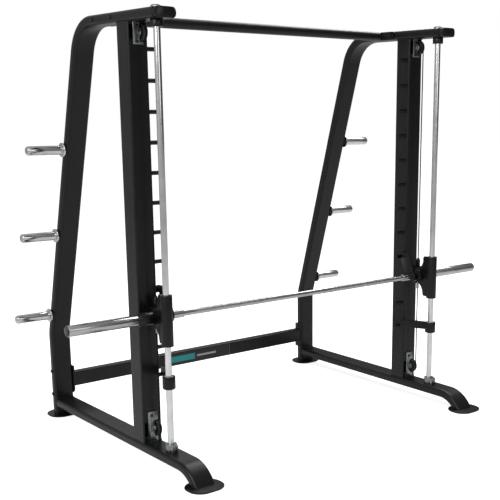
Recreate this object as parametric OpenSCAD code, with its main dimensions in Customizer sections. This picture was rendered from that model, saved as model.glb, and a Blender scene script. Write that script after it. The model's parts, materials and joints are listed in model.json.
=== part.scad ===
// Counterbalanced smith machine: bent-tube frame, chrome guide rods, racked bar on sliding carriages.
// Millimetres, +Z up, +Y to the back. Working positions are measured from the front face of the uprights.

/* [Frame] */
// distance of each post's centre from the mid-plane
post_x = 878; // [700:1:1000]
// side of the square uprights
post_w = 100; // [60:1:120]
// wall of every frame tube
wall = 3; // [2:0.5:5]
// width of the flat bent tube, across the machine
flat_w = 110; // [80:1:130]
// thickness of the flat bent tube
flat_t = 46; // [30:1:60]
// height of the base rails' centre line
rail_z = 73; // [60:1:120]
// height of the top tubes' centre line
top_z = 2062; // [1800:1:2300]
// where the rear legs stand, centre line
leg_y = 968; // [700:1:1200]
// height at which the rear legs start to lean forward
knee_z = 467; // [300:1:700]
// forward lean of the rear legs, degrees
lean = 16.7443; // [5:0.0001:30]
// front end of the top tubes
nose_y = -216; // [-300:1:-190]
// foot plate across the machine
foot_w = 180; // [120:1:220]
// foot plate along the machine
foot_d = 150; // [100:1:200]
// foot plate thickness
foot_t = 8; // [4:1:12]

/* [Cross members] */
// diameter of the round top cross tube
cross_d = 50; // [30:1:80]
// top cross tube behind the upright fronts
cross_y = 232; // [120:1:400]
// height of the rear cross member's centre
rear_z = 190; // [130:1:400]
// height of the rear cross member's section
rear_h = 80; // [50:1:120]
// depth of the rear cross member's section
rear_d = 50; // [30:1:80]

/* [Guides and bar] */
// diameter of the guide rods
rod_d = 30; // [20:1:40]
// guide rods in front of the uprights
rod_y = -163.5; // [-200:0.5:-120]
// bar axis in front of the uprights
bar_y = -73; // [-100:1:-60]
// bar axis height when racked
bar_z = 723; // [600:1:900]
// diameter of the thin part of the bar
bar_d = 28; // [25:1:35]
// diameter of the bar's stepped ends and journals
step_d = 38; // [32:1:45]
// diameter of the plate sleeves
sleeve_d = 50; // [28:1:52]
// half of the bar's overall length
bar_half = 1328; // [1000:1:1400]
// outer diameter of the bar hubs
hub_d = 64; // [50:1:80]
// outer diameter of the carriage housings
house_d = 56; // [45:1:70]

/* [Rack and stops] */
// diameter of the rack pegs
peg_d = 20; // [12:1:25]
// distance between two pegs
peg_pitch = 137; // [80:0.5:160]
// height of the top peg
peg_top = 1925; // [1700:1:2000]
// number of pegs on each side
peg_count = 12; // [6:1:14]
// outer diameter of the safety stop collars
stop_d = 60; // [45:1:70]

/* [Counterbalance] */
// distance of the cables from the mid-plane
cable_x = 900; // [890:1:905]
// radius at which the cable lies on its pulleys
cable_r = 35; // [25:1:40]
// diameter of the cable
cable_d = 6; // [3:0.5:7]
// outer radius of the pulleys
pulley_r = 38; // [36:1:41]
// height of the upper pulleys' axles
upper_z = 1994; // [1900:1:1996]
// height of the lower pulleys' axles
lower_z = 165; // [150:1:250]
// counterweight across the machine
weight_w = 68; // [40:1:80]
// counterweight along the machine
weight_d = 80; // [40:1:80]
// counterweight height
weight_h = 440; // [300:10:500]
// counterweight underside when the bar is racked
weight_z = 1350; // [1300:10:1450]

/* [Plate storage] */
// diameter of the storage horns
horn_d = 46; // [28:1:50]
// horn's free end from the mid-plane
horn_end = 1132; // [1000:1:1200]

/* [Hidden] */
$fn = 48;
corner_r = 8;
flat_r = 15;
rod_r = rod_d / 2;
fit = 0.06;
gap = 0.3;
leg_front = leg_y - flat_t / 2;
rail_top = rail_z + flat_t / 2;
top_low = top_z - flat_t / 2;
top_high = top_z + flat_t / 2;
post_y = post_w / 2;
post_in = post_x - post_w / 2;
tube_in = post_x - flat_w / 2;
tube_out = post_x + flat_w / 2;
knee_r = 150;
knee_tan = knee_r * tan(lean / 2);
crown_r = 180;
crown_turn = 90 - lean;
crown_tan = crown_r * tan(crown_turn / 2);
crown_y = leg_y - (top_z - knee_z) * tan(lean);
lean_len = (top_z - knee_z) / cos(lean) - knee_tan - crown_tan;
toe_r = 157;
toe_y = -295;
toe_turn = 62;
front_foot_y = -437;
y_front = front_foot_y - foot_d / 2;
y_back = leg_y + foot_d / 2;
y_mid = (y_front + y_back) / 2;
plate_t = 8;
bolt_r = 6;
head_r = 10;
head_h = 6;
bracket_low = 111;
bracket_high = 267;
bracket_d = 56;
clamp_h = 37;
clamp_r = 27;
ear_y = 39;
cap_h = 32;
nose_cap = 28;
nose_r = 22;
nose_dome = 150;
nose_plug = 18;
flange_x = 8;
house_low = 603;
house_high = 841;
liner_r = 22;
liner_h = 40;
boss_in = 855;
boss_out = 900;
collar_in = 902;
collar_out = 980;
journal_r = step_d / 2;
bearing_r = 26;
lug_t = 8;
lug_low = 680;
lug_high = 760;
peg_y = 20;
peg_r = peg_d / 2;
peg_in = 778;
hook_in = 800;
hook_t = 12;
hook_peg_z = peg_top - 8 * peg_pitch - bar_z;
hook_peg_y = peg_y - bar_y;
hook_reach = sqrt(hook_peg_y * hook_peg_y + hook_peg_z * hook_peg_z);
stop_low = 402;
stop_high = 461;
stop_peg_z = peg_top - (peg_count - 1) * peg_pitch;
stop_x = 800;
stop_t = 10;
stop_turn = atan((post_x - stop_x) / (peg_y - rod_y));
stop_arm_low = 416;
stop_bush_r = 19;
horn_z = [1463, 1020, 575];
bolt_x = post_x - 5;
cheek_r = 18;
upper_bolts = [1954, 2023];
lower_bolts = [109, 230];

// ---- shared shapes ----

// the left side's copy of a part that has the same hand on both sides
module other() translate([-2 * post_x, 0, 0]) children();

module twice() {
    children();
    other() children();
}

module place() translate([0, -y_mid, 0]) children();

module left() mirror([1, 0, 0]) children();

module both() {
    children();
    left() children();
}

module rounded(w, h, r) {
    square([w - 2 * r, h], center = true);
    square([w, h - 2 * r], center = true);
    for (i = [-1, 1])
        for (j = [-1, 1])
            translate([i * (w / 2 - r), j * (h / 2 - r)])
                circle(r);
}

module hollow(w, h, r) {
    difference() {
        rounded(w, h, r);
        rounded(w - 2 * wall, h - 2 * wall, r - wall);
    }
}

// a shape drawn in the side view, first axis Y and second axis Z, thickness along X
module side(x0, x1) translate([x0, 0, 0]) rotate([90, 0, 90]) linear_extrude(x1 - x0) children();

module along_x(x0, x1, r) translate([x0, 0, 0]) rotate([0, 90, 0]) cylinder(h = x1 - x0, r = r);

// one straight piece of the flat tube along +Y of the side view, what follows goes on from its end
module flat_run(len) {
    rotate([-90, 0, 0])
        linear_extrude(len)
            hollow(flat_t, flat_w, flat_r);
    translate([0, len, 0])
        children();
}

// one bend of the flat tube to the left, what follows goes on from its end
module flat_bend(r, turn) {
    translate([-r, 0, 0]) {
        rotate_extrude(angle = turn)
            translate([r, 0])
                hollow(flat_t, flat_w, flat_r);
        rotate([0, 0, turn])
            translate([r, 0, 0])
                children();
    }
}

// ---- frame ----

module frame_tube() {
    translate([post_x, leg_y, foot_t]) rotate([90, 0, 90])
        flat_run(knee_z - knee_tan - foot_t)
            flat_bend(knee_r, lean)
                flat_run(lean_len)
                    flat_bend(crown_r, crown_turn)
                        flat_run(crown_y - crown_tan - nose_y);
}

module upright() {
    difference() {
        translate([post_x, post_y, rail_top])
            linear_extrude(top_low - rail_top)
                hollow(post_w, post_w, corner_r);
        pulley_window(upper_z);
        pulley_window(lower_z);
    }
}

module pulley_window(z) {
    translate([post_in + corner_r, -1, z - 33])
        cube([48, wall + 2, 66]);
    translate([post_in + corner_r + 47, -1, z - pulley_r - 2])
        cube([37, wall + 2, 2 * pulley_r + 4]);
}

module base_rail() {
    difference() {
        translate([post_x, leg_front, rail_z]) rotate([90, 0, 90]) rotate([0, 0, 90])
            flat_run(leg_front - toe_y)
                flat_bend(toe_r, toe_turn);
        translate([tube_in - 1, toe_y - toe_r - flat_t, foot_t - 200])
            cube([flat_w + 2, toe_r + flat_t, 200]);
    }
}

module foot_plate(y) {
    translate([post_x, y, 2])
        linear_extrude(foot_t - 2)
            rounded(foot_w, foot_d, 68);
}

module foot_pad(y) {
    translate([post_x, y, 0])
        linear_extrude(2)
            rounded(foot_w - 8, foot_d - 8, 64);
}

module cross_plate() {
    difference() {
        side(tube_in - plate_t, tube_in)
            translate([cross_y, top_z])
                rounded(226, flat_t - 2, 6);
        for (y = [148, 316])
            translate([0, y, top_z + 2])
                along_x(tube_in - plate_t - 1, tube_in + 1, bolt_r);
    }
}

module rear_bracket() {
    difference() {
        side(tube_in - plate_t, tube_in)
            polygon([[leg_y - bracket_d / 2, bracket_low + 18], [leg_y - bracket_d / 2 + 18, bracket_low],
                [leg_y + bracket_d / 2, bracket_low], [leg_y + bracket_d / 2, bracket_high],
                [leg_y - bracket_d / 2, bracket_high]]);
        for (z = [bracket_low + 10, bracket_high - 16])
            translate([0, leg_y + 3, z])
                along_x(tube_in - plate_t - 1, tube_in + 1, bolt_r);
    }
}

module end_cap() {
    intersection() {
        translate([post_x, nose_y, top_z]) rotate([90, 0, 0])
            linear_extrude(nose_cap)
                rounded(flat_w, flat_t, nose_r);
        translate([post_x, nose_y - nose_cap + nose_dome, top_z - flat_t])
            cylinder(h = 2 * flat_t, r = nose_dome);
    }
    translate([post_x, nose_y, top_z]) rotate([-90, 0, 0])
        linear_extrude(nose_plug)
            rounded(flat_w - 2 * wall, flat_t - 2 * wall, flat_r - wall);
}

// ---- guides ----

module ring(r_out, r_in, h) {
    difference() {
        cylinder(h = h, r = r_out);
        translate([0, 0, -1])
            cylinder(h = h + 2, r = r_in);
    }
}

module rod_clamp() {
    translate([post_x, rod_y, rail_top])
        difference() {
            union() {
                cylinder(h = clamp_h, r = clamp_r);
                translate([-14, -ear_y, 0])
                    cube([28, ear_y, clamp_h]);
            }
            translate([0, 0, -1])
                cylinder(h = clamp_h + 2, r = rod_r);
            translate([-1, -ear_y - 1, -1])
                cube([2, ear_y, clamp_h + 2]);
            translate([0, 7 - ear_y, clamp_h / 2])
                along_x(-20, 20, 4);
        }
}

module clamp_screw() {
    translate([post_x, rod_y + 7 - ear_y, rail_top + clamp_h / 2]) {
        along_x(-14, 13, 3.9);
        along_x(-19, -14, 6.5);
    }
}

// ---- bar and carriages ----

// dx is where the cable passes, measured from the housing's axis
module carriage(dx) {
    difference() {
        union() {
            translate([post_x, rod_y, house_low])
                cylinder(h = house_high - house_low, r = house_d / 2);
            side(post_x - 6, post_x + 6)
                polygon([[rod_y + 20, house_low + 4], [rod_y + 58, house_low + 4],
                    [rod_y + 63, house_low + 14], [rod_y + 66, lug_low - 42],
                    [rod_y + 78, lug_low - 18], [rod_y + 98, lug_low],
                    [bar_y + 33, lug_low], [bar_y + 33, lug_high + lug_t], [rod_y + 94, lug_high + lug_t],
                    [rod_y + 72, lug_high + 24], [rod_y + 63, lug_high + 44], [rod_y + 63, house_high - 12],
                    [rod_y + 57, house_high - 4], [rod_y + 20, house_high - 4]]);
            translate([0, bar_y, bar_z])
                along_x(boss_in, boss_out, hub_d / 2);
            for (z = [lug_low, lug_high])
                translate([post_x + (dx > 0 ? -6 : -36), bar_y + 20, z])
                    cube([42, 30, lug_t]);
        }
        translate([post_x, rod_y, house_low - 1])
            cylinder(h = house_high - house_low + 2, r = rod_r + 1);
        for (z = [house_low + 4, house_high - 4 - liner_h])
            translate([post_x, rod_y, z])
                cylinder(h = liner_h, r = liner_r);
        translate([0, bar_y, bar_z])
            along_x(boss_in - 1, boss_out + 1, bearing_r);
        translate([post_x + dx, -cable_r, lug_low - 1])
            cylinder(h = lug_high - lug_low + 20, r = cable_d / 2 + 0.5);
    }
}

module linear_bushing(z) {
    translate([post_x, rod_y, z])
        ring(liner_r, rod_r + fit, liner_h);
}

module bar_bearing(x) {
    translate([x, bar_y, bar_z]) rotate([0, 90, 0])
        ring(bearing_r, journal_r + fit, 14);
}

module cable_clamp() {
    translate([cable_x, -cable_r, lug_high + lug_t]) {
        ring(12, cable_d / 2 + 0.5, 40);
        translate([0, 0, 40])
            ring(8, cable_d / 2 + 0.5, 8);
    }
}

module cable_tensioner() {
    translate([cable_x, -cable_r, lug_low - 12]) {
        ring(9.5, cable_d / 2 + 0.5, 12);
        translate([0, 0, -30])
            ring(7.5, cable_d / 2 + 0.5, 30);
    }
}

module hub() {
    translate([0, bar_y, bar_z])
        difference() {
            union() {
                along_x(collar_in, collar_out - 8, hub_d / 2);
                along_x(collar_out - 8, collar_out, hub_d / 2 - 4);
            }
            along_x(collar_in - 1, collar_out + 1, journal_r);
        }
}

module sleeve() {
    translate([0, bar_y, bar_z])
        difference() {
            along_x(collar_out, bar_half - 4, sleeve_d / 2);
            along_x(collar_out - 1, bar_half - 3, journal_r);
        }
}

module sleeve_cap() {
    translate([0, bar_y, bar_z]) {
        along_x(bar_half - 4, bar_half, sleeve_d / 2 - 2);
        along_x(bar_half - 24, bar_half - 4, journal_r);
    }
}

module hook_outline() {
    difference() {
        union() {
            circle(hub_d / 2);
            polygon([[-30, 11], [22, 131], [118, 131], [124, 112], [124, 98], [80, 98], [80, 84], [31, -8]]);
        }
        circle(journal_r);
        translate([hook_peg_y, hook_peg_z])
            circle(peg_r + gap);
        translate([hook_peg_y - peg_r - gap, hook_peg_z - 100])
            square([2 * (peg_r + gap), 100]);
        intersection() {
            circle(hook_reach + peg_r + gap);
            translate([hook_peg_y, -50])
                square([100, hook_peg_z + 50]);
        }
    }
}

module hook() {
    translate([0, bar_y, bar_z]) {
        intersection() {
            side(hook_in, hook_in + hook_t)
                hook_outline();
            along_x(hook_in - 1, hook_in + hook_t + 1, hook_reach + peg_r + 13);
        }
        difference() {
            along_x(hook_in + hook_t, hook_in + hook_t + 22, journal_r + 9);
            along_x(hook_in, hook_in + hook_t + 30, journal_r);
        }
    }
}

// ---- safety stops ----

module stop_bush() {
    translate([post_x, rod_y, stop_low])
        ring(stop_bush_r, rod_r + fit, stop_high - stop_low);
    translate([post_x, rod_y, stop_low - 4])
        ring(stop_bush_r + 4, rod_r + fit, 4);
}

module stop_outline() {
    polygon([[0, stop_arm_low], [175.5, stop_arm_low], [185.5, stop_peg_z], [185.5, stop_peg_z + peg_r + gap],
        [218.5, stop_peg_z + peg_r + gap], [218.5, stop_peg_z - 2], [230, stop_peg_z - 2],
        [230, stop_peg_z + 24], [224, stop_peg_z + 30], [184, stop_peg_z + 30], [164, stop_high],
        [0, stop_high]]);
}

module stop_arm() {
    translate([post_x, rod_y, 0]) rotate([0, 0, stop_turn])
        difference() {
            union() {
                translate([0, 0, stop_low + gap])
                    cylinder(h = stop_high - stop_low - gap, r = stop_d / 2);
                side(-stop_t / 2, stop_t / 2)
                    stop_outline();
            }
            translate([0, 0, stop_low - 1])
                cylinder(h = stop_high - stop_low + 2, r = stop_bush_r + fit);
        }
}

// ---- counterbalance ----

// tabs are the full-width strips [low, high] above and below the pulley, bolts the two bolt heights
module bracket(z, low, high, tabs, bolts) {
    difference() {
        union() {
            translate([post_x - 26, -5, low])
                cube([36, 5, high - low]);
            for (t = tabs)
                translate([post_x, -5, t[0]])
                    cube([26, 5, t[1] - t[0]]);
            side(post_x + 6, post_x + 10)
                translate([0, z]) {
                    circle(cheek_r);
                    translate([0, -cheek_r])
                        square([30, 2 * cheek_r]);
                }
        }
        translate([0, 0, z]) {
            along_x(post_x, cable_x, 8);
            along_x(post_x - 1, post_x + 6, 14);
        }
        for (b = bolts)
            translate([bolt_x, 1, b]) rotate([90, 0, 0])
                cylinder(h = 8, r = 5);
    }
}

module upper_bracket() bracket(upper_z, 1942, top_low, [[1942, upper_z - pulley_r - 3]], upper_bolts);

module lower_bracket() bracket(lower_z, rail_top, 250,
    [[rail_top, lower_z - pulley_r - 3], [lower_z + pulley_r + 3, 250]], lower_bolts);

module pulley(z) {
    translate([cable_x, 0, z]) rotate([0, 90, 0])
        rotate_extrude()
            difference() {
                translate([8 + fit, -8])
                    square([pulley_r - 8 - fit, 16]);
                translate([cable_r, 0])
                    circle(cable_d / 2 + 0.5);
                translate([cable_r, -cable_d / 2 - 0.5])
                    square([20, cable_d + 1]);
                translate([16, 5])
                    square([12, 10]);
                translate([16, -15])
                    square([12, 10]);
            }
}

module axle(z) {
    translate([0, 0, z]) {
        along_x(post_x + 2, cable_x + 9, 8);
        along_x(post_x + 10, cable_x - 8 - gap, 12);
        along_x(cable_x + 8 + gap, cable_x + 14, 13);
        along_x(post_x, post_x + 6, 12);
    }
}

module cable() {
    for (s = [-1, 1])
        translate([cable_x, s * cable_r, lower_z])
            cylinder(h = upper_z - lower_z, r = cable_d / 2);
    translate([cable_x, 0, upper_z]) rotate([90, 0, 90])
        rotate_extrude(angle = 180)
            translate([cable_r, 0])
                circle(cable_d / 2);
    translate([cable_x, 0, lower_z]) rotate([90, 0, 90]) rotate([0, 0, 180])
        rotate_extrude(angle = 180)
            translate([cable_r, 0])
                circle(cable_d / 2);
}

module counterweight() {
    difference() {
        translate([post_x, post_y, weight_z])
            linear_extrude(weight_h)
                rounded(weight_w, weight_d, 4);
        translate([cable_x, cable_r, weight_z - 1])
            cylinder(h = weight_h + 2, r = cable_d / 2 + 1.5);
    }
}

// ---- plate storage ----

function horn_y(z) = leg_y - (z - knee_z) * tan(lean);

module horn(z) {
    translate([0, horn_y(z), z]) {
        along_x(tube_out + flange_x + 8, horn_end - 6, horn_d / 2);
        along_x(horn_end - 6, horn_end, horn_d / 2 - 5);
    }
}

module horn_flange(z) {
    translate([0, horn_y(z), z]) {
        along_x(tube_out + flange_x, tube_out + flange_x + 8, 36);
    }
}

module horn_boss(z) {
    translate([0, horn_y(z), z])
        along_x(tube_out, tube_out + flange_x, 21);
}

module bolt_head(x, dir) {
    translate([x, 0, 0])
        rotate([0, dir * 90, 0])
            cylinder(h = head_h, r = head_r);
}

// ---- nodes ----

module left_frame_tube() color("#262626") place() left() frame_tube();
module right_frame_tube() color("#262626") place() frame_tube();
module left_upright() color("#262626") place() other() upright();
module right_upright() color("#262626") place() upright();
module left_base_rail() color("#262626") place() left() base_rail();
module right_base_rail() color("#262626") place() base_rail();
module front_foot_plates() color("#1b1b1b") place() both() foot_plate(front_foot_y);
module rear_foot_plates() color("#1b1b1b") place() both() foot_plate(leg_y);

module foot_pads() {
    color("#101010") place() both() {
        foot_pad(front_foot_y);
        foot_pad(leg_y);
    }
}

module top_cross_tube() {
    color("#262626") place()
        translate([-(tube_in - plate_t), cross_y, top_z]) rotate([0, 90, 0])
            ring(cross_d / 2, cross_d / 2 - wall, 2 * (tube_in - plate_t));
}

module top_cross_plates() color("#262626") place() both() cross_plate();

module rear_cross_member() {
    color("#262626") place()
        translate([-(tube_in - plate_t), leg_y, rear_z]) rotate([90, 0, 90])
            linear_extrude(2 * (tube_in - plate_t))
                hollow(rear_d, rear_h, 6);
}

module rear_cross_brackets() color("#262626") place() both() rear_bracket();

module label_panel() {
    color("#2a3436") place()
        translate([-240, leg_y - rear_d / 2 - 1.5, rear_z - rear_h / 2 + 7])
            cube([480, 1.5, rear_h - 14]);
}

module rack_pegs() {
    for (i = [0 : peg_count - 1])
        translate([0, peg_y, peg_top - i * peg_pitch]) {
            along_x(peg_in + 2, post_in, peg_r);
            along_x(peg_in, peg_in + 2, peg_r - 2);
        }
}

module left_rack_pegs() color("#262626") place() left() rack_pegs();
module right_rack_pegs() color("#262626") place() rack_pegs();

module guide_rod() {
    translate([post_x, rod_y, rail_top])
        cylinder(h = top_low - rail_top, r = rod_r);
}

module left_guide_rod() color("#d6d9dc") place() left() guide_rod();
module right_guide_rod() color("#d6d9dc") place() guide_rod();

module rod_top_collars() {
    color("#141414") place() both()
        translate([post_x, rod_y, top_low - cap_h])
            ring(28, rod_r, cap_h);
}

module left_rod_clamp() color("#aeb4ba") place() other() rod_clamp();
module right_rod_clamp() color("#aeb4ba") place() rod_clamp();

module rod_clamp_screws() {
    color("#8f959b") place() twice()
        clamp_screw();
}

module tube_end_caps() color("#141414") place() both() end_cap();

module top_discs() {
    color("#b9bdc2") place() both()
        translate([post_x, rod_y, top_high]) {
            cylinder(h = 9, r = 25);
            translate([0, 0, 9])
                cylinder(h = 3, r = 21);
        }
}

module left_upper_bracket() color("#aeb4ba") place() other() upper_bracket();
module right_upper_bracket() color("#aeb4ba") place() upper_bracket();
module left_lower_bracket() color("#aeb4ba") place() other() lower_bracket();
module right_lower_bracket() color("#aeb4ba") place() lower_bracket();
module left_upper_pulley() color("#161616") place() other() pulley(upper_z);
module right_upper_pulley() color("#161616") place() pulley(upper_z);
module left_lower_pulley() color("#161616") place() other() pulley(lower_z);
module right_lower_pulley() color("#161616") place() pulley(lower_z);

module pulley_axles() {
    color("#8f959b") place() twice() {
        axle(upper_z);
        axle(lower_z);
    }
}

module bracket_bolts() {
    color("#1a1a1a") place() twice()
        for (z = concat(upper_bolts, lower_bolts))
            translate([bolt_x, -5, z]) rotate([90, 0, 0])
                cylinder(h = 4, r = 7.5);
}

module left_cable() color("#0c0c0c") place() other() cable();
module right_cable() color("#0c0c0c") place() cable();
module left_counterweight() color("#5a5d60") place() other() counterweight();
module right_counterweight() color("#5a5d60") place() counterweight();

module storage_horns() {
    for (z = horn_z)
        horn(z);
}

module left_storage_horns() color("#d6d9dc") place() left() storage_horns();
module right_storage_horns() color("#d6d9dc") place() storage_horns();

module horn_flanges() {
    color("#d6d9dc") place() both()
        for (z = horn_z)
            horn_flange(z);
}

module horn_bosses() {
    color("#141414") place() both()
        for (z = horn_z)
            horn_boss(z);
}

module frame_bolts() {
    color("#1a1a1a") place() both() {
        for (y = [148, 316])
            translate([0, y, top_z + 2]) {
                bolt_head(tube_out, 1);
                bolt_head(tube_in - plate_t, -1);
            }
        for (z = [bracket_low + 10, bracket_high - 16])
            translate([0, leg_y + 3, z]) {
                bolt_head(tube_out, 1);
                bolt_head(tube_in - plate_t, -1);
            }
    }
}

module left_carriage() color("#171717") place() left() carriage(post_x - cable_x);
module right_carriage() color("#171717") place() carriage(cable_x - post_x);

module linear_bushings() {
    color("#b08a3e") place() both()
        for (z = [house_low + 4, house_high - 4 - liner_h])
            linear_bushing(z);
}

module bar_bearings() {
    color("#9aa0a6") place() both()
        for (x = [boss_in + 2, boss_out - 16])
            bar_bearing(x);
}

module cable_clamps() color("#141414") place() twice() cable_clamp();
module cable_tensioners() color("#aeb4ba") place() twice() cable_tensioner();

module bar_shaft() {
    color("#d6d9dc") place()
        translate([0, bar_y, bar_z]) {
            along_x(-735, 735, bar_d / 2);
            both() {
                along_x(735, bar_half - 24, journal_r);
            }
        }
}

module left_sleeve() color("#d6d9dc") place() left() sleeve();
module right_sleeve() color("#d6d9dc") place() sleeve();
module bar_hubs() color("#141414") place() both() hub();
module sleeve_end_caps() color("#b9bdc2") place() both() sleeve_cap();
module left_hook() color("#1b1b1b") place() left() hook();
module right_hook() color("#1b1b1b") place() hook();
module left_stop_bush() color("#e4e2da") place() left() stop_bush();
module right_stop_bush() color("#e4e2da") place() stop_bush();
module left_stop_arm() color("#171717") place() left() stop_arm();
module right_stop_arm() color("#171717") place() stop_arm();

left_frame_tube();
right_frame_tube();
left_upright();
right_upright();
left_base_rail();
right_base_rail();
front_foot_plates();
rear_foot_plates();
foot_pads();
top_cross_tube();
top_cross_plates();
rear_cross_member();
rear_cross_brackets();
label_panel();
left_rack_pegs();
right_rack_pegs();
left_guide_rod();
right_guide_rod();
rod_top_collars();
left_rod_clamp();
right_rod_clamp();
rod_clamp_screws();
tube_end_caps();
top_discs();
left_upper_bracket();
right_upper_bracket();
left_lower_bracket();
right_lower_bracket();
left_upper_pulley();
right_upper_pulley();
left_lower_pulley();
right_lower_pulley();
pulley_axles();
bracket_bolts();
left_cable();
right_cable();
left_counterweight();
right_counterweight();
left_storage_horns();
right_storage_horns();
horn_flanges();
horn_bosses();
frame_bolts();
left_carriage();
right_carriage();
linear_bushings();
bar_bearings();
cable_clamps();
cable_tensioners();
bar_shaft();
left_sleeve();
right_sleeve();
bar_hubs();
sleeve_end_caps();
left_hook();
right_hook();
left_stop_bush();
right_stop_bush();
left_stop_arm();
right_stop_arm();
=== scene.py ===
import json
import math
import random

import bmesh
import bpy
from mathutils import Matrix, Vector


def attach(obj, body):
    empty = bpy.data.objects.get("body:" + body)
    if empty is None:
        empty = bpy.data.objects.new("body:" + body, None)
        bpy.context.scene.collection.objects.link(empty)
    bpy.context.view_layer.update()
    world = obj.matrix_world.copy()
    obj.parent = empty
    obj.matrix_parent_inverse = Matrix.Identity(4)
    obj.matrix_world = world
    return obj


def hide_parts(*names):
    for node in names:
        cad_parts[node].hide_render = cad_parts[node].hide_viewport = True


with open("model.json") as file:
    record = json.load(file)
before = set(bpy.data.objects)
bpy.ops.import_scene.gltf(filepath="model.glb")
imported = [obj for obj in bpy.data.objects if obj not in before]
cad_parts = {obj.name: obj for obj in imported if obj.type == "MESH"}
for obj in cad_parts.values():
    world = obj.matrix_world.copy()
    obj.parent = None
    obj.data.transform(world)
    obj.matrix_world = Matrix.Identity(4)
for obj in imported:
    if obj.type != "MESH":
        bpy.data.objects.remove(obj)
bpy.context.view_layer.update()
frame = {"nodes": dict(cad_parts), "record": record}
nodes = frame["nodes"]

# The design's working measures, in metres. The design counts Y from the uprights' front face,
# and MID moves that face to the frame's origin.
MID = -0.2655
POST_X = 0.878
POST_W = 0.100
POST_R = 0.008
POST_IN = POST_X - POST_W / 2
TOP_Z = 2.062
RAIL_Z = 0.073
LEG_Y = 0.968 + MID
FLAT_W = 0.110
FLAT_T = 0.046
FLAT_R = 0.015
TUBE_IN = POST_X - FLAT_W / 2
TUBE_OUT = POST_X + FLAT_W / 2
PLATE_T = 0.008
BAR_Y = -0.073 + MID
BAR_Z = 0.723
PEG_TOP = 1.925
PEG_PITCH = 0.137
PEG_COUNT = 12
PEG_Y = 0.020 + MID
PANEL_HALF = 0.24
PANEL_Z = 0.190
SIDES = ((-1, "left"), (1, "right"))
rng = random.Random(7)


# ---------------------------------------------------------------- materials

def new_material(name):
    m = bpy.data.materials.new(name)
    m.use_nodes = True
    t = m.node_tree
    return m, t, t.nodes["Principled BSDF"]


def coords(t, scale=(1, 1, 1)):
    tc = t.nodes.new("ShaderNodeTexCoord")
    mp = t.nodes.new("ShaderNodeMapping")
    mp.inputs["Scale"].default_value = scale
    t.links.new(tc.outputs["Object"], mp.inputs["Vector"])
    return mp.outputs["Vector"]


def noise(t, vec, scale, detail=3.0, rough=0.5):
    n = t.nodes.new("ShaderNodeTexNoise")
    n.inputs["Scale"].default_value = scale
    n.inputs["Detail"].default_value = detail
    n.inputs["Roughness"].default_value = rough
    t.links.new(vec, n.inputs["Vector"])
    return n.outputs["Fac"]


def ramp(t, fac, stops, hard=False):
    r = t.nodes.new("ShaderNodeValToRGB")
    e = r.color_ramp.elements
    while len(e) < len(stops):
        e.new(0.5)
    for el, (pos, c) in zip(e, stops):
        el.position = pos
        el.color = (*c, 1)
    if hard:
        r.color_ramp.interpolation = "CONSTANT"
    t.links.new(fac, r.inputs["Fac"])
    return r.outputs["Color"]


def span(t, fac, lo, hi, low=0.0, high=1.0):
    r = t.nodes.new("ShaderNodeMapRange")
    r.inputs["From Min"].default_value = low
    r.inputs["From Max"].default_value = high
    r.inputs["To Min"].default_value = lo
    r.inputs["To Max"].default_value = hi
    t.links.new(fac, r.inputs["Value"])
    return r.outputs["Result"]


def calc(t, operation, *operands):
    """A math node, where each operand is a socket or a number."""
    n = t.nodes.new("ShaderNodeMath")
    n.operation = operation
    for socket, value in zip(n.inputs, operands):
        if isinstance(value, (int, float)):
            socket.default_value = value
        else:
            t.links.new(value, socket)
    return n.outputs[0]


def axes(t):
    """The three object coordinates, as sockets X, Y and Z."""
    tc = t.nodes.new("ShaderNodeTexCoord")
    sep = t.nodes.new("ShaderNodeSeparateXYZ")
    t.links.new(tc.outputs["Object"], sep.inputs[0])
    return sep.outputs


def bump(t, bsdf, height, strength, distance):
    b = t.nodes.new("ShaderNodeBump")
    b.inputs["Strength"].default_value = strength
    b.inputs["Distance"].default_value = distance
    t.links.new(height, b.inputs["Height"])
    t.links.new(b.outputs["Normal"], bsdf.inputs["Normal"])


def painted_edge_highlight(t, low, high):
    """1 on sharp outer edges, 0 on flats: from the mesh's own pointiness; the mask of a painted edge
    highlight.
    """
    g = t.nodes.new("ShaderNodeNewGeometry")
    return span(t, g.outputs["Pointiness"], 0.0, 1.0, low, high)


def powder_coat(name, dark, light, rough, grain=900.0, edge_highlight_amount=0.25):
    """Baked powder coat: fine orange peel, soft tone drift, and a painted highlight: edges lightened in
    the colour, in patches.
    """
    m, t, b = new_material(name)
    v = coords(t)
    drift = noise(t, v, 3.0, 4.0)
    streaks = noise(t, coords(t, (1.0, 1.0, 0.25)), 38.0, 6.0, 0.65)
    mix = t.nodes.new("ShaderNodeMix")
    mix.data_type = "RGBA"
    # the lighter colour of the painted edge highlight, well above the paint's own
    mix.inputs["B"].default_value = (*[min(1, c * 2.6 + 0.01) for c in light], 1)
    t.links.new(ramp(t, drift, [(0.3, dark), (0.72, light)]), mix.inputs["A"])
    # painted highlight: sharp edges lightened in the base colour as if catching light, broken into patches
    # by the streak noise
    edge_highlight_factor = calc(t, "MULTIPLY", painted_edge_highlight(t, 0.53, 0.60), span(t, streaks, 0.0, edge_highlight_amount, 0.45, 0.8))
    t.links.new(edge_highlight_factor, mix.inputs["Factor"])
    t.links.new(mix.outputs["Result"], b.inputs["Base Color"])
    soft = span(t, drift, rough - 0.05, rough + 0.05)
    t.links.new(calc(t, "ADD", soft, span(t, streaks, -0.03, 0.05)), b.inputs["Roughness"])
    peel = noise(t, v, grain, 2.0, 0.5)
    lump = noise(t, v, 60.0, 2.0, 0.5)
    bump(t, b, calc(t, "MULTIPLY_ADD", lump, 0.35, peel), 0.12, 0.0004)
    b.inputs["Specular IOR Level"].default_value = 0.31
    return m


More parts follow.
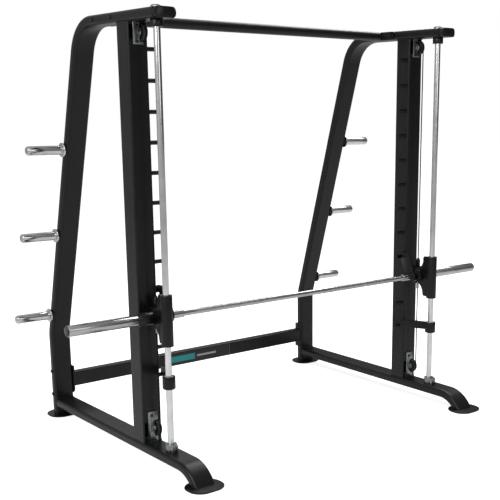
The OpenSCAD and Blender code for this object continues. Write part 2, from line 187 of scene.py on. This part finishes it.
def metal(name, low, high, rough, stretch, grain, depth=0.00008, spots=0.05):
    """Bare or plated metal: drawn grain along the stretch axis, faint handling marks in the roughness."""
    m, t, b = new_material(name)
    b.inputs["Metallic"].default_value = 1.0
    v = coords(t, stretch)
    g = noise(t, v, grain, 3.0, 0.6)
    blot = noise(t, coords(t), 14.0, 5.0, 0.6)
    t.links.new(ramp(t, blot, [(0.3, low), (0.7, high)]), b.inputs["Base Color"])
    drawn = span(t, g, rough - 0.03, rough + 0.04)
    marks = span(t, blot, -spots, spots, 0.3, 0.7)
    t.links.new(calc(t, "ADD", drawn, marks), b.inputs["Roughness"])
    bump(t, b, g, 0.18, depth)
    return m


def plastic(name, dark, light, rough, grain=420.0, depth=0.00025):
    """Moulded plastic or rubber: fine grain, slow drift in tone and sheen."""
    m, t, b = new_material(name)
    v = coords(t)
    g = noise(t, v, grain, 2.0, 0.5)
    d = noise(t, v, 22.0, 4.0, 0.6)
    t.links.new(ramp(t, d, [(0.35, dark), (0.7, light)]), b.inputs["Base Color"])
    t.links.new(span(t, d, rough - 0.06, rough + 0.07, 0.3, 0.7), b.inputs["Roughness"])
    b.inputs["Specular IOR Level"].default_value = 0.35
    bump(t, b, g, 0.25, depth)
    return m


def knurl(name):
    """Polished shaft with diamond knurling in two bands along X, where hands grip, and a plain middle."""
    m, t, b = new_material(name)
    b.inputs["Metallic"].default_value = 1.0
    starts, per_metre = 36.0, 2600.0
    band_from, band_to = 0.20, 0.66
    at = axes(t)
    y = calc(t, "SUBTRACT", at["Y"], BAR_Y)
    z = calc(t, "SUBTRACT", at["Z"], BAR_Z)
    turn = calc(t, "MULTIPLY", calc(t, "ARCTAN2", z, y), starts)
    waves = [calc(t, "SINE", calc(t, "MULTIPLY_ADD", at["X"], s * per_metre, turn)) for s in (1, -1)]
    reach = calc(t, "ABSOLUTE", at["X"])
    inner = calc(t, "GREATER_THAN", reach, band_from)
    outer = calc(t, "LESS_THAN", reach, band_to)
    band = calc(t, "MULTIPLY", inner, outer)
    cut = calc(t, "MULTIPLY", calc(t, "MINIMUM", *waves), band)
    blot = noise(t, coords(t), 16.0, 5.0, 0.6)
    steel = ramp(t, blot, [(0.3, (0.42, 0.42, 0.43)), (0.7, (0.54, 0.54, 0.55))])
    t.links.new(steel, b.inputs["Base Color"])
    rough = calc(t, "ADD", span(t, band, 0.12, 0.17), span(t, blot, -0.03, 0.05, 0.3, 0.7))
    t.links.new(rough, b.inputs["Roughness"])
    bump(t, b, cut, 0.5, 0.0003)
    return m


def cable_material(name):
    """Black nylon-coated wire rope: the strands' lay shows faintly through the sheath."""
    m, t, b = new_material(name)
    w = t.nodes.new("ShaderNodeTexWave")
    w.wave_type = "BANDS"
    w.bands_direction = "DIAGONAL"
    w.inputs["Scale"].default_value = 260.0
    w.inputs["Distortion"].default_value = 0.4
    t.links.new(coords(t), w.inputs["Vector"])
    sheath = ramp(t, w.outputs["Fac"], [(0.1, (0.002, 0.002, 0.002)), (0.9, (0.006, 0.006, 0.006))])
    t.links.new(sheath, b.inputs["Base Color"])
    t.links.new(span(t, w.outputs["Fac"], 0.62, 0.5), b.inputs["Roughness"])
    b.inputs["Specular IOR Level"].default_value = 0.12
    bump(t, b, w.outputs["Fac"], 0.4, 0.0004)
    return m


def panel_material():
    """Printed panel: a teal block and a thin grey bar on near-black, a light right edge, no lettering."""
    m, t, b = new_material("label_print")
    at = axes(t)
    ink = noise(t, coords(t), 90.0, 3.0)
    x = span(t, at["X"], 0.0, 1.0, -PANEL_HALF, PANEL_HALF)
    dark, teal, grey = (0.005, 0.005, 0.0052), (0.008, 0.27, 0.26), (0.36, 0.36, 0.36)
    start, end = [(0.0, dark)], [(0.993, (0.16, 0.14, 0.12))]
    block = [(0.05, teal), (0.46, dark)]
    thin_bar = [(0.49, grey), (0.78, dark)]
    off_centre = calc(t, "ABSOLUTE", calc(t, "SUBTRACT", at["Z"], PANEL_Z))
    col = ramp(t, x, start + end, True)
    for half_height, print_stops in ((0.018, block), (0.006, block + thin_bar)):
        lay = t.nodes.new("ShaderNodeMix")
        lay.data_type = "RGBA"
        t.links.new(calc(t, "LESS_THAN", off_centre, half_height), lay.inputs["Factor"])
        t.links.new(col, lay.inputs["A"])
        t.links.new(ramp(t, x, start + print_stops + end, True), lay.inputs["B"])
        col = lay.outputs["Result"]
    mix = t.nodes.new("ShaderNodeMix")
    mix.data_type = "RGBA"
    mix.blend_type = "MULTIPLY"
    mix.inputs["Factor"].default_value = 0.35
    t.links.new(col, mix.inputs["A"])
    t.links.new(ramp(t, ink, [(0.2, (0.6, 0.6, 0.6)), (0.8, (1, 1, 1))]), mix.inputs["B"])
    t.links.new(mix.outputs["Result"], b.inputs["Base Color"])
    t.links.new(span(t, ink, 0.3, 0.42), b.inputs["Roughness"])
    bump(t, b, ink, 0.1, 0.0001)
    return m


ALONG_X = (0.12, 1, 1)
ALONG_Z = (1, 1, 0.15)
EVEN = (1, 1, 1)
M = {
    "frame_paint": powder_coat("frame_powder_coat", (0.0036, 0.0036, 0.0037), (0.0066, 0.0066, 0.0068),
                               0.33),
    "foot_paint": powder_coat("foot_powder_coat", (0.0024, 0.0024, 0.0024), (0.0046, 0.0046, 0.0046),
                              0.34, edge_highlight_amount=0.3),
    "carriage_paint": powder_coat("carriage_powder_coat", (0.003, 0.003, 0.003), (0.006, 0.006, 0.006),
                                  0.34, grain=700.0),
    "peg_paint": powder_coat("peg_powder_coat", (0.0014, 0.0014, 0.0014), (0.003, 0.003, 0.003),
                             0.4, edge_highlight_amount=0.2),
    "black_bolt": powder_coat("black_oxide", (0.008, 0.008, 0.009), (0.02, 0.02, 0.022), 0.36, edge_highlight_amount=0.6),
    "weight_iron": powder_coat("weight_iron", (0.03, 0.03, 0.031), (0.06, 0.06, 0.062), 0.6, grain=160.0),
    "chrome": metal("polished_chrome", (0.66, 0.67, 0.69), (0.82, 0.83, 0.85), 0.13, ALONG_Z,
                    160.0, 0.00003, 0.03),
    "horn_chrome": metal("horn_chrome", (0.56, 0.56, 0.57), (0.70, 0.70, 0.71), 0.14, ALONG_X,
                         160.0, 0.00002, 0.03),
    "sleeve_steel": metal("sleeve_steel", (0.44, 0.44, 0.44), (0.56, 0.555, 0.55), 0.24, ALONG_X,
                          160.0, 0.00003, 0.03),
    "cap_steel": metal("cap_steel", (0.055, 0.055, 0.056), (0.10, 0.10, 0.10), 0.30, EVEN,
                       300.0, 0.00004, 0.04),
    "zinc": metal("zinc_plate", (0.22, 0.235, 0.24), (0.34, 0.36, 0.365), 0.31, EVEN,
                  500.0, 0.00004, 0.04),
    "disc_steel": metal("satin_disc", (0.30, 0.31, 0.32), (0.44, 0.45, 0.46), 0.36, EVEN, 300.0),
    "bolt_steel": metal("bolt_steel", (0.40, 0.41, 0.43), (0.58, 0.59, 0.61), 0.30, EVEN, 300.0),
    "bearing_steel": metal("bearing_steel", (0.42, 0.43, 0.45), (0.6, 0.61, 0.63), 0.25, EVEN, 300.0),
    "bronze": metal("bronze", (0.36, 0.23, 0.09), (0.52, 0.36, 0.16), 0.35, EVEN, 300.0),
    "bar": knurl("bar_steel"),
    "black_trim": plastic("black_trim", (0.003, 0.003, 0.003), (0.007, 0.007, 0.0075),
                          0.28, 300.0, 0.00006),
    "pulley_nylon": plastic("pulley_nylon", (0.012, 0.012, 0.012), (0.03, 0.03, 0.03), 0.42),
    "nylon": plastic("natural_nylon", (0.55, 0.54, 0.5), (0.72, 0.71, 0.67), 0.45),
    "rubber": plastic("pad_rubber", (0.010, 0.010, 0.010), (0.02, 0.02, 0.02), 0.75, 260.0, 0.0006),
    "cable_sheath": cable_material("cable_sheath"),
    "panel": panel_material(),
}
slot_of = {s["node"]: s["material_slot"] for s in frame["record"]["subparts"]}


def finish_of(node_name):
    """The material of a CAD node: its slot's, or a special one where the steel differs from its slot's."""
    if node_name == "bar_shaft":
        return M["bar"]
    if node_name == "sleeve_end_caps":
        return M["cap_steel"]
    if node_name.endswith("sleeve"):
        return M["sleeve_steel"]
    if node_name.endswith(("horns", "flanges")):
        return M["horn_chrome"]
    return M[slot_of[node_name]]


# ---------------------------------------------------------------- pieces

def dress(obj, mat):
    obj.data.materials.clear()
    obj.data.materials.append(mat)


def piece(name, bm, mat, body, smooth=True, bevel=0.0, segments=2):
    me = bpy.data.meshes.new(name)
    bm.to_mesh(me)
    bm.free()
    o = bpy.data.objects.new(name, me)
    bpy.context.scene.collection.objects.link(o)
    me.materials.append(mat)
    if smooth:
        for p in me.polygons:
            p.use_smooth = True
    if bevel:
        b = o.modifiers.new("edges", "BEVEL")
        b.width = bevel
        b.segments = segments
        b.limit_method = "ANGLE"
        b.angle_limit = math.radians(35)
        b.harden_normals = True
    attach(o, body)
    return o


def bevelled(node_name, width):
    """Stands for a CAD node: its copy, with the flat faces merged and the sharp edges rounded."""
    src = nodes[node_name]
    bm = bmesh.new()
    bm.from_mesh(src.data)
    bmesh.ops.remove_doubles(bm, verts=bm.verts, dist=2e-6)
    bmesh.ops.dissolve_limit(bm, angle_limit=math.radians(0.6), verts=bm.verts, edges=bm.edges)
    segments = 3 if width > 0.0018 else 2
    o = piece(node_name + "_finish", bm, finish_of(node_name), body_of(node_name),
              True, width, segments)
    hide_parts(node_name)


def body_of(node_name):
    for b, names in frame["record"]["behaviour"]["bodies"].items():
        if node_name in names:
            return b


def revolve(profile, centre, axis, steps):
    """A lathe form: profile is (radius, along) pairs, turned about axis through centre."""
    bm = bmesh.new()
    axis = Vector(axis).normalized()
    q = axis.to_track_quat("Z", "Y").to_matrix().to_4x4()
    m = Matrix.Translation(centre) @ q
    rings = []
    for r, h in profile:
        if r < 1e-7:
            rings.append([bm.verts.new(m @ Vector((0, 0, h)))])
        else:
            rings.append([bm.verts.new(m @ Vector((r * math.cos(a), r * math.sin(a), h)))
                          for a in (2 * math.pi * i / steps for i in range(steps))])
    for a, b in zip(rings, rings[1:]):
        for i in range(steps):
            j = (i + 1) % steps
            if len(a) == 1:
                bm.faces.new((a[0], b[i], b[j]))
            elif len(b) == 1:
                bm.faces.new((a[i], a[j], b[0]))
            else:
                bm.faces.new((a[i], a[j], b[j], b[i]))
    bmesh.ops.recalc_face_normals(bm, faces=bm.faces)
    return bm


def merge(parts):
    out = bmesh.new()
    for bm in parts:
        me = bpy.data.meshes.new("tmp")
        bm.to_mesh(me)
        bm.free()
        out.from_mesh(me)
        bpy.data.meshes.remove(me)
    return out


def hex_head(centre, axis, flats, height, washer):
    """Hexagon bolt head on a washer, its corners cut to a cone, with a small recess in the crown."""
    axis = Vector(axis).normalized()
    bm = bmesh.new()
    q = axis.to_track_quat("Z", "Y").to_matrix().to_4x4()
    m = Matrix.Translation(centre) @ q
    thick = 0.0016
    corner_r = flats / math.sqrt(3)
    flat_r = flats / 2
    steps = 24
    rings = []
    for r, h, hexagon in ((corner_r, thick, True), (corner_r, thick + height - 0.0012, True),
                          (flat_r * 0.97, thick + height, False), (flat_r * 0.72, thick + height, False),
                          (flat_r * 0.66, thick + height - 0.0006, False)):
        ring = []
        for i in range(steps):
            a = 2 * math.pi * i / steps
            k = math.cos(math.pi / 6) / math.cos((a % (math.pi / 3)) - math.pi / 6) if hexagon else 1.0
            ring.append(bm.verts.new(m @ Vector((r * k * math.cos(a), r * k * math.sin(a), h))))
        rings.append(ring)
    for a, b in zip(rings, rings[1:]):
        for i in range(steps):
            j = (i + 1) % steps
            bm.faces.new((a[i], a[j], b[j], b[i]))
    bm.faces.new(rings[-1])
    bm.faces.new(list(reversed(rings[0])))
    wash = revolve([(0, 0), (washer - 0.0004, 0), (washer, 0.0004), (washer, thick - 0.0004),
                    (washer - 0.0004, thick), (0, thick)], centre, axis, 32)
    bmesh.ops.recalc_face_normals(bm, faces=bm.faces)
    return merge([bm, wash])


def bead(points, radius, step=0.004):
    """A weld bead round a closed path: overlapping ripples, a little uneven like hand welding."""
    pts = [Vector(p) for p in points]
    pts.append(pts[0])
    dense = []
    for a, b in zip(pts, pts[1:]):
        n = max(1, int((b - a).length / step))
        dense += [a.lerp(b, i / n) for i in range(n)]
    bm = bmesh.new()
    n = len(dense)
    k = 8
    rings = []
    for i, p in enumerate(dense):
        d = dense[(i + 1) % n] - dense[i - 1]
        d = d.normalized() if d.length > 1e-9 else Vector((0, 0, 1))
        u = d.orthogonal().normalized()
        w = d.cross(u)
        r = radius * (1.0 + 0.16 * math.sin(i * 2.1) + rng.uniform(-0.05, 0.05))
        ring = []
        for j in range(k):
            a = 2 * math.pi * j / k
            ring.append(bm.verts.new(p + (u * math.cos(a) + w * math.sin(a)) * r))
        rings.append(ring)
    for a, b in zip(rings, rings[1:] + rings[:1]):
        # the nearest start keeps neighbouring rings untwisted
        s = min(range(k), key=lambda q: (a[0].co - b[q].co).length)
        for j in range(k):
            bm.faces.new((a[j], a[(j + 1) % k], b[(j + 1 + s) % k], b[(j + s) % k]))
    bmesh.ops.recalc_face_normals(bm, faces=bm.faces)
    return bm


def oval(w, h, r, corner=5):
    """Points of a rounded rectangle about the origin, counter-clockwise."""
    out = []
    for qx, qy, a0 in ((1, 1, 0), (-1, 1, 90), (-1, -1, 180), (1, -1, 270)):
        for i in range(corner + 1):
            a = math.radians(a0 + 90 * i / corner)
            out.append((qx * (w / 2 - r) + r * math.cos(a), qy * (h / 2 - r) + r * math.sin(a)))
    return out


# ---------------------------------------------------------------- finish on the CAD nodes

for name, obj in nodes.items():
    dress(obj, finish_of(name))

# how far the edges of these nodes are rounded, by width of rounding
ROUNDED = {
    0.0008: ("cable_tensioners",),
    0.0009: ("left_upper_bracket", "right_upper_bracket", "left_lower_bracket", "right_lower_bracket"),
    0.001: ("left_sleeve", "right_sleeve"),
    0.0014: ("left_hook", "right_hook"),
    0.0015: ("top_cross_plates", "rear_cross_brackets", "horn_bosses", "cable_clamps", "top_discs",
             "sleeve_end_caps"),
    0.0016: ("left_stop_arm", "right_stop_arm"),
    0.0018: ("left_rod_clamp", "right_rod_clamp"),
    0.002: ("left_carriage", "right_carriage", "front_foot_plates", "rear_foot_plates", "rod_top_collars"),
    0.0022: ("bar_hubs",),
    0.0025: ("horn_flanges",),
    0.003: ("tube_end_caps",),
    0.004: ("left_storage_horns", "right_storage_horns"),
}
for width, names in ROUNDED.items():
    for name in names:
        bevelled(name, width)

# frame bolts: hexagon heads on washers where the CAD has plain heads
FRAME_BOLTS = ((0.148 + MID, TOP_Z + 0.002), (0.316 + MID, TOP_Z + 0.002),
               (0.971 + MID, 0.121), (0.971 + MID, 0.251))
for s, side in SIDES:
    heads = []
    for y, z in FRAME_BOLTS:
        heads.append(hex_head((s * TUBE_OUT, y, z), (s, 0, 0), 0.0165, 0.0042, 0.0098))
        heads.append(hex_head((s * (TUBE_IN - PLATE_T), y, z), (-s, 0, 0), 0.0165, 0.0042, 0.0098))
    o = piece(side + "_hex_bolts", merge(heads), M["black_bolt"], "frame", False)
    if s < 0:
        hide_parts("frame_bolts")

# pulley bracket bolts: the same hand on both sides
BRACKET_BOLTS = (1.954, 2.023, 0.109, 0.230)
heads = []
for s, side in SIDES:
    for z in BRACKET_BOLTS:
        heads.append(hex_head((s * POST_X - 0.005, -0.005 + MID, z), (0, -1, 0), 0.012, 0.0022, 0.0073))
o = piece("bracket_hex_bolts", merge(heads), M["black_bolt"], "frame", False)
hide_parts("bracket_bolts")

# rubber seals in the mouths of the carriage bosses
BOSS_MOUTHS = ((0.8556, 1), (0.8994, -1))
SEAL = [(0.0194, 0), (0.0194, 0.0014), (0.0214, 0.0018), (0.0240, 0.0010),
        (0.0258, 0.0012), (0.0258, 0), (0.0194, 0)]
for s, side in SIDES:
    rings = []
    for x, d in BOSS_MOUTHS:
        rings.append(revolve(SEAL, (s * x, BAR_Y, BAR_Z), (s * d, 0, 0), 40))
    piece(side + "_boss_seals", merge(rings), M["rubber"], "carriages")

# weld beads: peg roots, upright feet and heads, rail into leg, foot plates
PEG_WELD_R = 0.0108
for s, side in SIDES:
    beads = []
    for i in range(PEG_COUNT):
        z = PEG_TOP - PEG_PITCH * i
        ring = []
        for j in range(16):
            a = 2 * math.pi * j / 16
            y, up = PEG_WELD_R * math.cos(a), PEG_WELD_R * math.sin(a)
            ring.append((s * (POST_IN - 0.0006), PEG_Y + y, z + up))
        beads.append(bead(ring, 0.0022, 0.003))
    post = oval(POST_W + 0.0004, POST_W + 0.0004, POST_R)
    for z in (RAIL_Z + FLAT_T / 2 + 0.0006, TOP_Z - FLAT_T / 2 - 0.0006):
        ring = [(s * (POST_X + x), POST_W / 2 + MID + y, z) for x, y in post]
        beads.append(bead(ring, 0.0026))
    leg_front = LEG_Y - FLAT_T / 2 - 0.0005
    rail = oval(FLAT_W - 0.0004, FLAT_T + 0.0004, FLAT_R)
    ring = [(s * (POST_X + x), leg_front, RAIL_Z + z) for x, z in rail]
    beads.append(bead(ring, 0.0028))
    leg = oval(FLAT_W + 0.0004, FLAT_T + 0.0004, FLAT_R)
    ring = [(s * (POST_X + x), LEG_Y + y, 0.0086) for x, y in leg]
    beads.append(bead(ring, 0.0028))
    piece(side + "_welds", merge(beads), M["frame_paint"], "frame")


# ---------------------------------------------------------------- camera, floor, light

def stage_setup():
    bm = bmesh.new()
    size = 30.0
    corners = ((-size, -size), (size, -size), (size, size), (-size, size))
    bm.faces.new([bm.verts.new((x, y, 0)) for x, y in corners])
    me = bpy.data.meshes.new("floor")
    bm.to_mesh(me)
    bm.free()
    floor = bpy.data.objects.new("floor", me)
    bpy.context.scene.collection.objects.link(floor)
    m, t, b = new_material("floor_white")
    tone = ramp(t, noise(t, coords(t), 0.6, 2.0), [(0.3, (0.90, 0.90, 0.90)), (0.7, (0.93, 0.93, 0.93))])
    t.links.new(tone, b.inputs["Base Color"])
    b.inputs["Roughness"].default_value = 0.6
    b.inputs["Specular IOR Level"].default_value = 0.1
    b.inputs["Emission Color"].default_value = (1, 1, 1, 1)
    seen = t.nodes.new("ShaderNodeLightPath").outputs["Is Camera Ray"]
    t.links.new(calc(t, "MULTIPLY", seen, 0.72), b.inputs["Emission Strength"])
    me.materials.append(m)

    # white behind the machine; the light itself comes mostly from the left and above
    world = bpy.data.worlds.new("studio")
    bpy.context.scene.world = world
    world.use_nodes = True
    w = world.node_tree
    bg = w.nodes["Background"]
    bg.inputs["Color"].default_value = (1, 1, 1, 1)
    tc = w.nodes.new("ShaderNodeTexCoord")
    sep = w.nodes.new("ShaderNodeSeparateXYZ")
    w.links.new(tc.outputs["Generated"], sep.inputs[0])
    across = span(w, sep.outputs["X"], 0.52, 0.09, -0.9, 0.7)
    height = span(w, sep.outputs["Z"], -0.03, 0.24, 0.0, 0.9)
    w.links.new(calc(w, "ADD", across, height), bg.inputs["Strength"])
    white = w.nodes.new("ShaderNodeBackground")
    white.inputs["Color"].default_value = (1, 1, 1, 1)
    mix = w.nodes.new("ShaderNodeMixShader")
    w.links.new(w.nodes.new("ShaderNodeLightPath").outputs["Is Camera Ray"], mix.inputs[0])
    w.links.new(bg.outputs[0], mix.inputs[1])
    w.links.new(white.outputs[0], mix.inputs[2])
    w.links.new(mix.outputs[0], w.nodes["World Output"].inputs["Surface"])
    bpy.context.scene.view_settings.view_transform = "Standard"

    def area(name, loc, target, size_x, size_y, power):
        l = bpy.data.lights.new(name, "AREA")
        l.shape = "RECTANGLE"
        l.size = size_x
        l.size_y = size_y
        l.energy = power
        o = bpy.data.objects.new(name, l)
        bpy.context.scene.collection.objects.link(o)
        o.location = loc
        d = Vector(target) - Vector(loc)
        o.rotation_euler = d.to_track_quat("-Z", "Y").to_euler()

    area("key", (-4.5, -1.5, 3.6), (0, 0, 1.0), 3.0, 3.0, 110)
    area("fill", (-0.5, -6.0, 2.6), (0, 0, 1.0), 2.0, 2.0, 20)
    area("top", (3.1, 1.2, 4.6), (-0.2, -0.4, 0.4), 2.6, 2.0, 120)
    area("back", (1.5, 5.0, 3.5), (0, 0, 1.0), 4.0, 3.0, 20)


stage_setup()

# the picture's camera, solved from the straight edges of the frame
cam_data = bpy.data.cameras.new("camera")
cam = bpy.data.objects.new("camera", cam_data)
bpy.context.scene.collection.objects.link(cam)
az, pitch = math.radians(40.18), math.radians(12.59)
forward = Vector((math.sin(az) * math.cos(pitch), math.cos(az) * math.cos(pitch), -math.sin(pitch)))
cam.location = (-3.100, -3.831 + MID, 1.674)
cam.rotation_euler = forward.to_track_quat("-Z", "Y").to_euler()
cam_data.sensor_width = 36.0
cam_data.lens = 68.63
cam_data.shift_x = -0.1274
cam_data.shift_y = 0.1392
cam_data.clip_end = 200.0
bpy.context.scene.camera = cam
